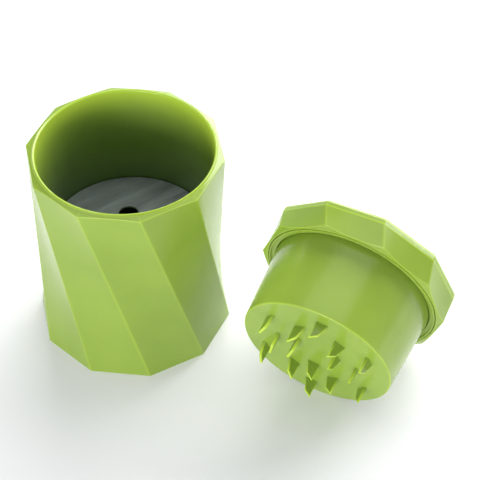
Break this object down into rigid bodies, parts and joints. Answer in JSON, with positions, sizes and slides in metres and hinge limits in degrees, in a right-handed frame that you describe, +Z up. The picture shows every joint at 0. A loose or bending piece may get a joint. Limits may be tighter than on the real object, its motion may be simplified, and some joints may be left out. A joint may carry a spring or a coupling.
{
  "type": "hand twist grinder",
  "caption": "Faceted plastic cup with a steel plate inside, and a plug lid with pointed fins that turns in the cup to grind by hand. The lid lies beside the cup.",
  "frame": {"origin": "centre of the underside of the cup's base", "axes": "+Z up along the cup's axis, +X from the cup towards the lid lying beside it, +Y away from the side the lid's fins face"},
  "size_m": [0.1707, 0.1143, 0.0909],
  "materials": {
    "cup_plastic": "lime green moulded plastic, glossy",
    "plate_steel": "rolled stainless steel, satin",
    "lid_plastic": "lime green moulded plastic, glossy",
    "ring_plastic": "lime green moulded plastic, satin"
  },
  "bodies": {
    "cup": {"cup": "cup_plastic"},
    "plate": {"grinding_plate": "plate_steel"},
    "ring": {"slip_ring": "ring_plastic"},
    "lid": {"lid_cap": "lid_plastic", "lid_plug": "lid_plastic"}
  },
  "joints": [
    {"name": "plate_lift", "type": "slide", "parent": "cup", "child": "plate", "axis": [0, 0, 1], "range_m": [0, 0.06]},
    {"name": "lid_lift", "type": "slide", "parent": "cup", "child": "ring", "axis": [0, 0, 1], "range_m": [0, 0.12]},
    {"name": "lid_turn", "type": "hinge", "parent": "ring", "child": "lid", "pos_m": [0.0899, -0.026, 0.03821], "axis": [0.4472, 0.8702, 0.2069], "continuous": true}
  ]
}
